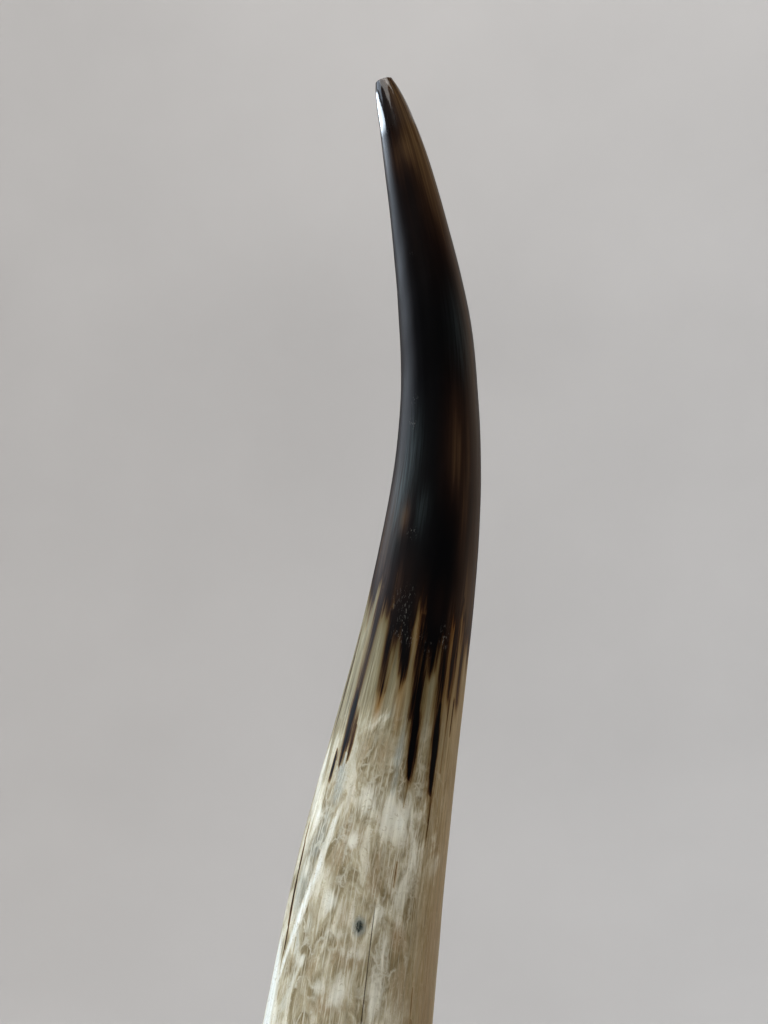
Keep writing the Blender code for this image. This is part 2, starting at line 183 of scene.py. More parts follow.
AMBER = [
    (297, -24, 8, 1.6, 1), (291, -6, 8, 2.2, 0.7), (302, -4, 7, 1.6, 0.6), (258, 38, 10, 3.4, 1),
    (262, 0, 10, 1.6, 0.6), (278, 40, 14, 3, 0.6), (36, 34, 30, 5, 0.5), (388, 24, 5, 2.6, 0.45),
]
# The streaks on the left edge, past -66°, and the slanting band from -35° to -70° are partly a painted sheen
# of the window and partly paler horn.
PALE_STREAKS_AND_SHEEN = [
    (318, 366, -28, -41, 6, 0.3), (338, 390, -35.5, -52, 4.6, 1), (358, 418, -41, -70, 3.8, 1.3),
    (312, 363, -77, -70, 8, 0.8), (388, 460, -80, -66, 17, 1.3),
]
PALE_PATCHES = [
    (343, 3, 10, 3, 0.72), (340, 15, 14, 5, 0.82), (337, -13, 11, 6, 0.84), (382, 7, 9, 2.4, 0.6),
    (378, -27, 5, 3.4, 1), (354, -20, 4, 2.6, 0.8), (410, -12, 10, 3.6, 0.74),
    (408, 13, 14, 5, 0.82), (410, -26, 4, 3, 0.9), (401, -43, 4, 3.4, 0.8), (332, -30, 12, 4, 0.15),
    (304, -22, 12, 5, 0.5), (390, -18, 3, 7, 0.55), (396, -6, 3, 9, 0.5), (372, 20, 12, 6, 0.52),
    (352, 31, 16, 4, 0.5), (369, 29, 13, 5, 0.46), (352, 50, 20, 5, 0.44), (392, -26, 6, 3, 0.4),
    (392, 15, 8, 3, 0.6), (366, -57, 6, 3.4, 0.8), (346, -58, 7, 4, 0.9),
]
# Nearer the tip than 240 mm these patches are a painted reflection of the window, tinted blue-grey on the
# black; further back they are grey horn.
GREY_AND_SHEEN = [
    (370, -61, 16, 5, 0.66), (318, -31, 10, 4, 0.4), (350, -49, 14, 4.4, 0.7), (357, -51, 5, 4, 0.85),
    (376, -52, 18, 4, 0.66), (388, -41, 10, 3, 0.5), (404, -48, 12, 3, 0.5), (418, -54, 10, 4, 0.44),
    (334, -42, 10, 3.4, 0.72), (318, 3, 14, 3.4, 0.62), (330, 4, 10, 2.6, 0.5), (304, -9, 12, 3, 0.4),
    (324, -47, 9, 3, 0.66), (300, 4, 20, 1.6, 0.6), (202, -50, 22, 5, 0.8), (178, -38, 16, 4, 0.4),
    (210, -16, 10, 3, 0.3), (128, 42, 20, 6, 0.34),
]
BROWN = [
    (360, -28, 13, 6, 0.8), (364, 1, 13, 4, 0.9), (349, -25, 6, 3.4, 0.7), (351, -14, 7, 1.6, 0.8),
    (363, 15, 8, 2.4, 0.7), (398, -9, 7, 9, 0.9), (404, -35, 7, 3, 0.8), (416, -18, 7, 10, 0.85),
    (388, 24, 9, 5, 0.8), (388, 60, 20, 7, 1), (372, 12, 11, 5, 0.6), (404, 30, 14, 7, 0.7),
    (316, -11, 10, 6, 0.74), (317, -27, 9, 3.6, 0.66), (335, -29, 8, 3, 0.5), (350, 21, 8, 3, 0.6),
    (340, 8, 6, 3, 0.5), (383, -16, 9, 3, 0.6), (350, 66, 26, 4, 0.4), (412, 60, 20, 7, 0.9),
    (340, -4, 9, 1.8, 0.7),
]
SCUFFS = [
    (220, -24, 2, 1.6, 0.9), (250, -30, 4, 1.2, 1), (248, -17, 3, 2.4, 0.9), (256, -18, 6, 1.8, 0.9),
    (265, -18, 3, 3, 1.1), (268, -7, 2, 2, 0.9), (265, 1, 3, 1.4, 1.1), (270, 12, 3, 1.4, 0.7),
    (263, 28, 5, 1.8, 1.1), (158, -40, 2, 1.2, 0.7), (169, -43, 2, 2.4, 0.7), (89, -25, 1, 1.2, 0.6),
]
SEEN = {
    "fingers": FINGERS, "dark": DARK_STREAKS, "amber": AMBER, "pale": PALE_STREAKS_AND_SHEEN, "patch": PALE_PATCHES,
    "grey": GREY_AND_SHEEN, "brown": BROWN, "thin": THIN_AND_EDGE_GLOW, "scuff": SCUFFS,
}
DARK_SPOT = (386, -3.5, 4, 2.6, 0.98)
CRACK = [(374, 5), (400, 6), (421, 6.6), (452, 8)]  # distance, angle
CRACK_DEPTH = 0.3 * MM
CRACK_HALF_ANGLE = 0.4
EDGE_FADE = 16  # mm along the horn in which the dark pigment thins out
FINGER_FADE = 3.3  # mm across in which a finger does
FINGER_CORE = 0.18  # how dark a finger still is at its stated width
PALEST = -1.4  # the pigment's level where the horn is fully pale
FLUTE_DEPTH = 0.018 * MM
RING_SPACING = 13  # mm between growth rings
RING_HEIGHT = 0.14 * MM

# How the mesh is divided: 1 mm apart where the markings are, wider behind them, finer still at the cut tip.
SIDES = 162
NEAR_TIP = np.array([2.2, 2.24, 2.32, 2.45, 2.6, 3.0, 3.5]) * MM
TIP_EDGE = 0.35 * MM  # the rounding of its cut edge
MARKED = np.arange(4.0, 430.0) * MM
PLAIN = np.linspace(0.430, HORN_LENGTH, 155)


def smooth(table, column, at):
    """Reads one column of a table as a smooth curve through its values."""
    xs = np.array([row[0] for row in table])
    ys = np.array([row[column] for row in table], float)
    slopes = np.gradient(ys, xs)
    i = np.clip(np.searchsorted(xs, at) - 1, 0, len(xs) - 2)
    span = xs[i + 1] - xs[i]
    s = np.clip((at - xs[i]) / span, 0, 1)
    rise = (1 + 2 * s) * (1 - s) ** 2 * ys[i] + s * s * (3 - 2 * s) * ys[i + 1]
    return rise + span * (s * (1 - s) ** 2 * slopes[i] + s * s * (s - 1) * slopes[i + 1])


def half_spine(side):
    """The line from the mount's middle to a tip, a millimetre at a time."""
    out = np.arange(0, HALF_CORE + HORN_LENGTH + MM / 2, MM)
    from_tip = HALF_CORE + HORN_LENGTH - (out[:-1] + out[1:]) / 2
    lift, forward = smooth(HEADING, 1, from_tip), smooth(HEADING, 2, from_tip)
    if side < 0:
        fade = np.clip((out[1:] - WRAP_HALF) / HORN_LENGTH * 2, 0, 1)
        lift, forward = lift + LEFT_LIFT * fade, forward + LEFT_FORWARD * fade
    lift, forward = np.radians(lift), np.radians(forward)
    along = np.stack(
        [side * np.cos(forward) * np.cos(lift), -np.sin(forward), np.cos(forward) * np.sin(lift)], axis=1
    )
    start = np.array([[0.0, -AXIS_TO_WALL, 0.0]])
    return out, np.concatenate([start, start + np.cumsum(along * MM, axis=0)])


def sections(side, reach):
    """Centres of the cross-sections, their front directions and the directions of their outer curve."""
    out, points = half_spine(side)
    ahead = np.gradient(points, axis=0)
    centre = np.stack([np.interp(reach, out, points[:, k]) for k in range(3)], axis=1)
    ahead = np.stack([np.interp(reach, out, ahead[:, k]) for k in range(3)], axis=1)
    ahead /= np.linalg.norm(ahead, axis=1, keepdims=True)
    front = np.array([0.0, -1.0, 0.0]) + ahead[:, 1:2] * ahead
    front /= np.linalg.norm(front, axis=1, keepdims=True)
    return centre, front, side * np.cross(ahead, front)


def rings_round(centre, front, across, radius, angle):
    """Points at a radius and an angle in each cross-section."""
    swing = np.cos(angle)[..., None] * front[:, None] + np.sin(angle)[..., None] * across[:, None]
    return centre[:, None] + radius[..., None] * swing


def tube_faces(rows, sides, wrap_ends=False):
    """Quads between neighbouring rings, and from the last to the first where the tube closes on itself."""
    row = np.arange(rows if wrap_ends else rows - 1)[:, None] * sides
    after = (row + sides) % (rows * sides)
    side = np.arange(sides)[None]
    beside = (side + 1) % sides
    quads = np.stack([row + side, row + beside, after + beside, after + side], axis=-1)
    return quads.reshape(-1, 4).tolist()


def fan_faces(middle, ring, sides):
    """Triangles from a middle point to the ring that starts at a point's number."""
    return [(middle, ring + j, ring + (j + 1) % sides) for j in range(sides)]


def new_piece(name, points, faces, crease=40):
    """A mesh object with its faces turned outwards, shaded smooth but for its sharp edges."""
    mesh = bpy.data.meshes.new(name)
    mesh.from_pydata(np.asarray(points).reshape(-1, 3).tolist(), [], faces)
    shape = bmesh.new()
    shape.from_mesh(mesh)
    bmesh.ops.recalc_face_normals(shape, faces=shape.faces)
    shape.to_mesh(mesh)
    shape.free()
    mesh.shade_smooth()
    mesh.set_sharp_from_angle(angle=math.radians(crease))
    made = bpy.data.objects.new(name, mesh)
    scene.collection.objects.link(made)
    return made


def paint(piece, **layers):
    """Stores numbers or vectors on a piece's points, for its material to read."""
    for name, values in layers.items():
        kind, field = ("FLOAT_VECTOR", "vector") if values.ndim == 2 else ("FLOAT", "value")
        layer = piece.data.attributes.new(name, kind, "POINT")
        layer.data.foreach_set(field, values.astype(np.float32).ravel())


def ramp(low, high, value):
    """0 below low, 1 above high and a smooth rise between them."""
    s = np.clip((value - low) / (high - low), 0, 1)
    return s * s * (3 - 2 * s)


def off_line(angle, centre, radius):
    """Millimetres round the surface from a line at an angle in degrees."""
    turn = (np.degrees(angle) - centre + 180) % 360 - 180
    return np.radians(turn) * radius / MM


def streaks(lines, far, angle, radius):
    """The strongest of several streaks that narrow towards both ends, at distances in millimetres."""
    best = np.zeros(far.shape)
    for start, end, angle_start, angle_end, width, strength in lines:
        share = (far - start) / (end - start)
        centre = angle_start + (angle_end - angle_start) * share
        half = width / 2 * np.sqrt(np.clip(4 * share * (1 - share), 0, 1))
        body = np.clip((half - abs(off_line(angle, centre, radius))) / (0.35 * width) + 0.15, 0, 1)
        best = np.maximum(best, strength * body)
    return best


def patches(spots, far, angle, radius):
    """Several soft oval patches, each laid over the ones before."""
    bare = np.ones(far.shape)
    for distance, centre, half_length, half_width, strength in spots:
        fall = ((far - distance) / half_length) ** 2 + (off_line(angle, centre, radius) / half_width) ** 2
        bare *= 1 - np.clip(strength, 0, 0.98) * np.exp(-fall)
    return 1 - bare


def pigment_field(dark_edge, fingers, far, angle, radius):
    """How dark the horn is: 1 where the pigment is full, 0 at its border, below 0 where it is pale."""
    edge = np.interp(np.degrees(angle), *zip(*dark_edge))
    field = np.clip((edge - far) / EDGE_FADE, PALEST, 1)
    for start, end, angle_start, angle_end, width in fingers:
        share = np.clip((far - start) / (end - start), 0, 1)
        centre = angle_start + (angle_end - angle_start) * share
        half = width / 2 * (1 - share**1.8) ** 0.7
        inside = (half - abs(off_line(angle, centre, radius))) / FINGER_FADE + FINGER_CORE
        inside = inside - np.clip(far - end, 0, None) / 9 - np.clip(start - far, 0, None) / 4
        field = np.maximum(field, np.clip(inside, PALEST, 1))
    return field


def ripple(rng, far, angle, waves, turns, per_metre, size):
    """Gentle unevenness that closes on itself round the horn: a sum of slanting waves."""
    total = np.zeros(far.shape)
    for _ in range(waves):
        turn = rng.integers(*turns)
        rate = rng.uniform(*per_metre)
        total += np.cos(turn * angle + rate * 2 * np.pi * far * MM + rng.uniform(0, 2 * np.pi))
    return total * size / math.sqrt(waves)


def unseen_marks(rng, lowest, highest, count):
    """Marks of every kind between two angles, for a side that the lists above leave plain."""

    def draw(*ranges):
        """A random value out of each range."""
        return [rng.uniform(*limits) for limits in ranges]

    sector = (lowest, highest)
    made = {kind: [] for kind in SEEN}
    for angle in np.linspace(*sector, count) + rng.uniform(-5, 5, count):
        end, drift, width = draw((258, 322), (-4, 6), (1.2, 5.5))
        made["fingers"].append((228, end, angle, angle + drift, width))
        made["amber"].append((end - 2, angle + drift, *draw((5, 10), (1.0, 2.4), (0.3, 1))))
        start, step, length, *size = draw((268, 340), (4, 9), (25, 70), (1.4, 3), (0.4, 1.2))
        angle = angle + step
        made["dark"].append((start, start + length, angle, angle + drift, *size))
    for _ in range(count):
        start, angle, length, drift = draw((250, 600), sector, (30, 110), (-12, 12))
        size = draw((2, 6), (0.3, 0.9))
        made["pale"].append((start, start + length, angle, angle + drift, *size))
    for kind, number, reach, half_length, half_width, strength in (
        ("grey", 3 * count, (290, 880), (9, 34), (3, 9), (0.3, 0.9)),
        ("brown", 3 * count, (330, 900), (9, 34), (3, 9), (0.3, 0.9)),
        ("thin", count, (20, 235), (16, 60), (2, 8), (0.4, 0.8)),
    ):
        for _ in range(number):
            made[kind].append(draw(reach, sector, half_length, half_width, strength))
    return made


def make_horn(name, side, seed, as_seen):
    """One horn, with its pigment and marks stored on its points."""
    rng = np.random.default_rng(seed)
    from_tip = np.concatenate([NEAR_TIP, MARKED, PLAIN])
    girth = smooth(GIRTH, 1, from_tip) * MM / 2
    girth -= TIP_EDGE * (1 - np.sqrt(1 - np.clip(1 - (from_tip - from_tip[0]) / TIP_EDGE, 0, 1) ** 2))
    twist = np.interp(from_tip / MM, *zip(*CRACK))[:, None]
    # One column of points runs down the crack, with one close on each side.
    columns = np.linspace(-180, 180, SIDES - 2, endpoint=False)
    columns = np.sort(np.append(columns, [-CRACK_HALF_ANGLE, CRACK_HALF_ANGLE]))
    angle = np.radians((columns[None] + twist + 180) % 360 - 180)
    far = np.repeat(from_tip[:, None] / MM, SIDES, axis=1)
    radius = np.repeat(girth[:, None], SIDES, axis=1)

    if as_seen:
        marks = unseen_marks(rng, 100, 260, 9)
        edge = DARK_EDGE
        for kind, rows in SEEN.items():
            marks[kind] += rows
    else:
        marks = unseen_marks(rng, -180, 176, 22)
        turns = np.arange(-180, 180, 12)
        reach = rng.uniform(222, 252, len(turns))
        edge = [*zip(turns, reach), (180, reach[0])]
        marks["thin"] += THIN_AND_EDGE_GLOW[:8]
    # Both horns go on past the photo's edge in the same way: mottled, with growth rings towards the base.
    tail = unseen_marks(rng, -100, 100, 7)
    for kind, start in (("pale", 430), ("grey", 440), ("brown", 440)):
        marks[kind] += [row for row in tail[kind] if row[0] > start]

    pigment = pigment_field(edge, marks["fingers"], far, angle, radius)
    dark = streaks(marks["dark"], far, angle, radius)
    layers = {
        kind: patches(marks[kind], far, angle, radius)
        for kind in ("thin", "amber", "patch", "grey", "brown", "scuff")
    }
    layers["pigment"] = np.where(dark > 0, np.maximum(pigment, dark * 1.3 - 0.55), pigment)
    layers["pale"] = np.maximum(streaks(marks["pale"], far, angle, radius), layers.pop("patch"))
    layers["crack"] = np.zeros(far.shape)
    if as_seen:
        layers["grey"] = np.maximum(layers["grey"], 1.6 * patches([DARK_SPOT], far, angle, radius))
        start, end = CRACK[0][0], CRACK[-1][0]
        layers["crack"] = ramp(start, start + 10, far) * (1 - ramp(end - 16, end, far))
        layers["crack"] *= abs(np.degrees(angle) - twist) < CRACK_HALF_ANGLE / 2

    uneven = ripple(rng, far, angle, 9, (0, 4), (3, 14), 0.10 * MM)
    uneven += ripple(rng, far, angle, 12, (2, 7), (10, 40), 0.035 * MM)
    flutes = ripple(rng, far, angle, 14, (14, 46), (-3, 3), FLUTE_DEPTH)
    flutes *= ramp(60, 260, far) * (1 - 0.7 * ramp(450, 700, far))
    wobble = ripple(rng, far, angle, 6, (0, 4), (4, 12), 0.9)
    growth = np.maximum(np.sin(2 * np.pi * far / RING_SPACING + wobble), -0.4) * RING_HEIGHT
    relief = (uneven + flutes + growth * ramp(690, 900, far)) * ramp(15, 80, far)
    surface = radius + relief - CRACK_DEPTH * layers["crack"]

    # The base is a flat ring round the socket that the core's tenon fills.
    from_tip = np.append(from_tip, [HORN_LENGTH, HORN_LENGTH - SOCKET_DEPTH])
    surface = np.concatenate([surface, np.full((2, SIDES), SOCKET_RADIUS)])
    centre, front, across = sections(side, HALF_CORE + HORN_LENGTH - from_tip)
    swing = np.concatenate([angle, angle[-1:], angle[-1:]])
    points = rings_round(centre, front, across, surface, swing).reshape(-1, 3)
    last = len(points) - SIDES
    faces = tube_faces(len(from_tip), SIDES)
    faces += fan_faces(len(points), 0, SIDES) + fan_faces(len(points) + 1, last, SIDES)
    points = np.concatenate([points, centre[:1], centre[-1:]])
    horn = new_piece(name + "_polished", points, faces)

    def on_points(values):
        """Carries a value per ring point on to the socket and the two middle points."""
        flat = np.concatenate([values, values[-1:], values[-1:]]).reshape(-1)
        return np.concatenate([flat, values[:1, 0], values[-1:, 0]])

    layers = {kind: on_points(values) for kind, values in layers.items()}
    for kind, size in (("fibres", 1), ("body", radius)):
        place = (size * np.cos(angle), size * np.sin(angle), far * MM)
        layers[kind] = np.stack([on_points(values) for values in place], axis=1)
    paint(horn, **layers)
    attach(horn, "root")
    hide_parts(name)
    return horn


# Polished horn: layered keratin, a little see-through, with fine fibres along its length. The pigment dims
# the pale horn beneath it to amber, then red-brown, then black, as it thickens. The tip is buffed brighter.
FIBRE_WIDTH = 1.1  # mm, as all of these; the real fibres are a tenth of this and would not show
FIBRE_LENGTH = 26.0
LAYER_WIDTH = 9.0  # patches of the horn's layers where sanding cuts through them
FLECK_WIDTH = 0.9
CURL_WIDTH = 2.6
CELL_WIDTH = 6.5  # the crazing's cells
SCRATCH_WIDTH = 0.7
SPECK_WIDTH = 0.8
FINGER_RADIUS = 25.0  # the horn's radius where the fingers are
TIMES = {"operation": "MULTIPLY"}  # for a Math or Vector Math node
EASED = {"interpolation_type": "SMOOTHSTEP"}  # for a Map Range node
COLOURS = {"out": 2, "data_type": "RGBA"}  # for a Mix node, with its inputs 0, 6 and 7

keratin, tree, shader = new_finish("Horn, sanded and buffed")
fibres = add("Attribute", out="Vector", attribute_name="fibres")
body = add("Attribute", out="Vector", attribute_name="body")
from_tip = add("SeparateXYZ", [fibres], out="Z")
level = {
    name: add("Attribute", out="Fac", attribute_name=name)
    for name in ("pigment", "thin", "amber", "pale", "grey", "brown", "scuff", "crack")
}

# `fibres` is one unit in radius, so that the fibres taper with the horn.
drawn_out = 1000 * FIBRE_WIDTH / FIBRE_LENGTH / FINGER_RADIUS
drawn_out = add("VectorMath", [fibres, (1, 1, drawn_out)], **TIMES)
fibre = add("TexNoise", {
    "Vector": drawn_out, "Scale": FINGER_RADIUS / FIBRE_WIDTH, "Detail": 5, "Roughness": 0.62,
    "Distortion": 0.25,
})
broad = add("TexNoise", {"Vector": drawn_out, "Scale": FINGER_RADIUS / FIBRE_WIDTH / 4, "Detail": 2})

# The pale horn: layers of cream and khaki, cut through by sanding into drawn-out patches.
layered = add("VectorMath", [body, (1, 1, 0.4)], **TIMES)
layers = add("TexNoise", {
    "Vector": layered, "Scale": 1000 / LAYER_WIDTH, "Detail": 6, "Roughness": 0.56, "Distortion": 0.9,
})
pale_horn = add("ValToRGB", [layers], stops=[
    (0.38, "#7D7258"), (0.46, "#91876D"), (0.54, "#ADA58E"), (0.62, "#CAC6B4"),
])
smooth_horn = add("ValToRGB", [fibre], stops=[(0.3, "#6A634E"), (0.5, "#857F68"), (0.7, "#A29E8B")])
outer = add("SeparateXYZ", [fibres], out="Y")
outer = add("MapRange", [outer, 0.3, 0.85], **EASED)
mottling = add("MapRange", [from_tip, 0.285, 0.335], **EASED)
calm = add("MapRange", {0: outer, 3: 1, 4: 0.25})
mottling = add("Math", [mottling, calm], **TIMES)
pale_horn = add("Mix", {0: mottling, 6: smooth_horn, 7: pale_horn}, **COLOURS)
# Browner and darker towards the outer curve: partly the horn's own khaki-brown, partly painted shade of the
# right horn's side away from the window.
outer = add("Math", [outer, 0.6], **TIMES)
pale_horn = add("Mix", {0: outer, 6: pale_horn, 7: linear("#95805A")}, **COLOURS)

# Towards the base the layers close up into cream with lengthwise lines.
cream = add("ValToRGB", [fibre], stops=[(0.3, "#BCB398"), (0.5, "#C8C0A7"), (0.7, "#D3CCB6")])
closing = add("MapRange", [from_tip, 0.46, 0.78, 0, 0.78], **EASED)
pale_horn = add("Mix", {0: closing, 6: pale_horn, 7: cream}, **COLOURS)
open_layers = add("Math", [1, closing], operation="SUBTRACT")
mottling = add("Math", [mottling, open_layers], **TIMES)

# Short white flecks where layers lift, and small curls of khaki between them.
flecked = add("VectorMath", [body, (1, 1, 0.18)], **TIMES)
flecks = add("TexNoise", {
    "Vector": flecked, "Scale": 1000 / FLECK_WIDTH, "Detail": 3, "Roughness": 0.6, "Distortion": 0.7,
})
fleck = add("MapRange", [flecks, 0.52, 0.66])
curls = add("TexNoise", {
    "Vector": body, "Scale": 1000 / CURL_WIDTH, "Detail": 4, "Roughness": 0.55, "Distortion": 2.4,
})
curl = add("MapRange", [curls, 0.58, 0.68])
white = add("Math", [fleck, curl], operation="MAXIMUM")
sparse = add("MapRange", [layers, 0.42, 0.62, 0.15, 0.75])
white = add("Math", [white, sparse], **TIMES)
scratch = add("VectorMath", [body, (1, 1, 0.05)], **TIMES)
scratch = add("TexNoise", {
    "Vector": scratch, "Scale": 1000 / SCRATCH_WIDTH, "Detail": 2, "Roughness": 0.6,
})
scratch = add("MapRange", [scratch, 0.5, 0.66, 0, 0.5])
white = add("Math", [white, 0.55], **TIMES)
white = add("Math", [white, scratch], operation="MAXIMUM")

# Crazing: thin pale lines round small cells, in the khaki that sanding has laid bare.
crazed = add("TexNoise", {"Vector": body, "Scale": 1600 / CELL_WIDTH, "Detail": 3}, out="Color")
crazed = add("VectorMath", {0: crazed, "Scale": 0.8 * CELL_WIDTH * MM}, operation="SCALE")
crazed = add("VectorMath", [layered, crazed])
crazed = add("TexVoronoi", {"Vector": crazed, "Scale": 1000 / CELL_WIDTH}, feature="DISTANCE_TO_EDGE")
crazed = add("MapRange", [crazed, 0, 0.12, 0.55, 0])
exposed = add("MapRange", [layers, 0.4, 0.53, 1, 0])
crazed = add("Math", [crazed, exposed], **TIMES)
white = add("Math", [white, crazed], operation="MAXIMUM")
white = add("Math", [white, mottling], **TIMES)
khaki = add("MapRange", [curls, 0.43, 0.34, 0, 0.5])
khaki = add("Math", [khaki, mottling], **TIMES)

# Each mark ends where the layers let it: its level is set against the same noise as the mottling.
uneven = add("MapRange", [layers, 0.3, 0.7, -0.28, 0.28])
ragged = add("MapRange", [fibre, 0.3, 0.7, -0.16, 0.16])
torn = add("Math", [uneven, ragged])
# The palest white-green of the pale marks is partly a painted sheen of the window on the horn's left side.
for amount, low, high, colour, strength in (
    (level["brown"], 0.3, 0.9, "#8D7C60", 0.7), (level["grey"], 0.3, 0.9, "#878C87", 0.75),
    (level["grey"], 0.95, 1.35, "#252E2C", 0.95), (level["pale"], 0.25, 0.85, "#D3D2C5", 0.9),
    (level["pale"], 0.85, 1.3, "#DFE4E0", 0.95),
):
    amount = add("Math", [amount, torn])
    amount = add("MapRange", [amount, low, high, 0, strength], **EASED)
    pale_horn = add("Mix", {0: amount, 6: pale_horn, 7: linear(colour)}, **COLOURS)
for amount, colour, strength in (
    (khaki, "#8F8268", 1.0), (level["amber"], "#8C6E42", 0.8), (white, "#D8D6C8", 1.0),
):
    amount = add("Math", [amount, strength], **TIMES, use_clamp=True)
    pale_horn = add("Mix", {0: amount, 6: pale_horn, 7: linear(colour)}, **COLOURS)
streaky = add("MapRange", [fibre, 0.3, 0.7, 0.84, 1.1])
pale_horn = add("VectorMath", [pale_horn, streaky], **TIMES)

# The pigment, frayed along the fibres at its border.
frayed = add("MapRange", [fibre, 0.3, 0.7, -0.46, 0.46])
clouded = add("MapRange", [broad, 0.3, 0.7, -0.22, 0.22])
frayed = add("Math", [frayed, clouded])
frayed = add("Math", [frayed, level["pigment"]])
density = add("MapRange", [frayed, -0.95, 0.95], **EASED)
dimmed = add("ValToRGB", [density], stops=[
    (0, "#FFFFFF"), (0.25, "#D6C8B0"), (0.45, "#9C8062"), (0.62, "#5E4133"), (0.8, "#2C1A16"),
    (1, "#100E12"),
])
colour = add("Mix", {0: 1, 6: pale_horn, 7: dimmed}, **COLOURS, blend_type="MULTIPLY")

# Where it is full, the horn is black, or red-brown to olive where the pigmented layer is thin.
depth = add("MapRange", [fibre, 0.3, 0.7, 0.61, 0.67])
clouded = add("MapRange", [broad, 0.3, 0.7, 0.74, 1.26])
depth = add("Math", [depth, clouded], **TIMES)
# Along the outer edge this lightening is partly painted light: the glow through the thin edge and the
# backdrop's reflection.
depth = add("Math", [depth, level["thin"]], **TIMES)
full = add("ValToRGB", [depth], stops=[
    (0.03, "#030305"), (0.22, "#170D0A"), (0.36, "#2D1E15"), (0.5, "#4C3A28"), (0.66, "#6B573C"),
    (0.85, "#867862"),
])
# Painted reflection: the grey patches nearer the tip than 240 mm turn the black blue-grey, as the window's
# sheen on its left side.
painted_sheen = add("MapRange", [fibre, 0.36, 0.62, 0.15, 0.95])
painted_sheen = add("Math", [level["grey"], painted_sheen], **TIMES, use_clamp=True)
above = add("MapRange", [from_tip, 0.23, 0.25, 1, 0])
painted_sheen = add("Math", [above, painted_sheen], **TIMES)
full = add("Mix", {0: painted_sheen, 6: full, 7: linear("#4B5759")}, **COLOURS)
opaque = add("MapRange", [density, 0.66, 0.92], **EASED)
colour = add("Mix", {0: opaque, 6: colour, 7: full}, **COLOURS)
specks = add("VectorMath", [body, (1, 1, 0.4)], **TIMES)
specks = add("TexNoise", {"Vector": specks, "Scale": 1000 / SPECK_WIDTH, "Detail": 3, "Roughness": 0.7})
scratches = add("MapRange", [specks, 0.56, 0.7, 0, 0.8])
scratches = add("Math", [scratches, level["scuff"]], **TIMES, use_clamp=True)
colour = add("Mix", {0: scratches, 6: colour, 7: linear("#8C8A84")}, **COLOURS)
colour = add("Mix", {0: level["crack"], 6: colour, 7: linear("#3A3025")}, **COLOURS)

# Buffed bright over the last 40 mm, satin behind it, duller where layers lift and in the scuffs.
gloss = add("MapRange", [from_tip, 0.024, 0.06, 0.26, 0.38], **EASED)
duller = add("MapRange", [from_tip, 0.15, 0.2, 0, 0.08], **EASED)
gloss = add("Math", [gloss, duller])
buffed = add("MapRange", [from_tip, 0.022, 0.03, 1, 0], **EASED)
dull = add("Math", [white, scratches], operation="MAXIMUM")
rough = add("Math", [dull, 0.25, gloss], operation="MULTIPLY_ADD")
smear = add("MapRange", [broad, 0.3, 0.7, -0.05, 0.05])
rough = add("Math", [rough, smear], use_clamp=True)
height = add("Math", [fibre, white])
raised = add("MapRange", [from_tip, 0.03, 0.16, 0.06, 0.35])
sanded = add("MapRange", [from_tip, 0.45, 0.7, 1, 0.25])
raised = add("Math", [raised, sanded], **TIMES)
bump = add("Bump", {"Strength": raised, "Distance": 0.08 * MM, "Height": height})
lead(Base_Color=colour, Roughness=rough, IOR=1.55, Specular_IOR_Level=0.07, Normal=bump,
     Coat_Weight=buffed, Coat_Roughness=0.09, Subsurface_Weight=0.12, Subsurface_Radius=(1.0, 0.6, 0.3),
     Subsurface_Scale=2.5 * MM)

for name, side, seed, as_seen in (("horn_right", 1, 11, True), ("horn_left", -1, 23, False)):
    dress(make_horn(name, side, seed, as_seen), keratin)

# The sleeve is one piece of vegetable-tanned leather, dyed brown and drawn tight over the core and the
# horns' ends. It lies flat where the board sits, and its two edges meet at the back, whip-stitched with
# waxed thread.

WRAP_GIRTH = [(0, 119), (0.045, 117.5), (0.08, 109.5), (0.098, 105.6), (0.1, 105.6), (0.14, 105.6)]
LEATHER = 3.0 * MM
AXIS_TO_FLAT = 43.8 * MM
FLAT_ENDS = (95.3 * MM, 99.5 * MM)  # flat before the first, round after the second
BRAID_MIDDLE = 119.5 * MM
TIED_DEPTH = 0.45 * MM  # how far a braid sinks in
TIED_SPREAD = 7 * MM
WRAP_SIDES = 220
CUT_EDGE = [(0.8, 0.0), (0.3, 0.15), (0.05, 0.7), (0.0, 1.5), (0.05, 2.3), (0.3, 2.85)]  # mm: inward, under
SLACK_HEIGHT = 0.22 * MM
WRINKLE_HEIGHT = 0.13 * MM
PLEAT_HEIGHT = 0.28 * MM
PLEATS = 38  # round the sleeve, before each braid
PLEATED = (106 * MM, 5.5 * MM)  # their middle and spread
BOARD_ENDS = (96 * MM, 99 * MM)  # the seam's lips stand up past these
SEAM_DEPTH = 1.5  # mm, as is the next
LIP_HEIGHT = 0.3
STITCHES = (101.5 * MM, 105.5 * MM, 109.5 * MM)
STITCH_REACH = 3.4 * MM
STITCH_SLANT = 0.35
STITCH_HEIGHT = 0.75 * MM  # of its middle line over the leather
STITCH_DIVE = 2.2 * MM
STITCH_SAG = 0.3 * MM
STITCH_RINGS = 15
THREAD_RADIUS = 0.55 * MM
THREAD_SIDES = 8


def mount_sections(places):
    """Centres, front directions and upward directions at signed distances from the mount's middle."""
    to_right = (places >= 0)[:, None]
    halves = zip(sections(1, abs(places)), sections(-1, abs(places)))
    centre, front, down = [np.where(to_right, right, left) for right, left in halves]
    return centre, front, -down


def flattened(radius, angle, place, depth, sharpness):
    """A round section's radius once its back is pressed flat at a depth behind the axis."""
    limit = depth / np.maximum(-np.cos(angle), 0.05)
    pressed = (radius**-sharpness + limit**-sharpness) ** (-1 / sharpness)
    return pressed + (radius - pressed) * ramp(*FLAT_ENDS, abs(place))


def hump(value, middle, spread):
    """1 at the middle, falling off gently on both sides."""
    return np.exp(-(((value - middle) / spread) ** 2))


def full_turn(steps):
    """Angles once round, without the last, which is the first again."""
    return np.linspace(0, 2 * np.pi, steps, endpoint=False)


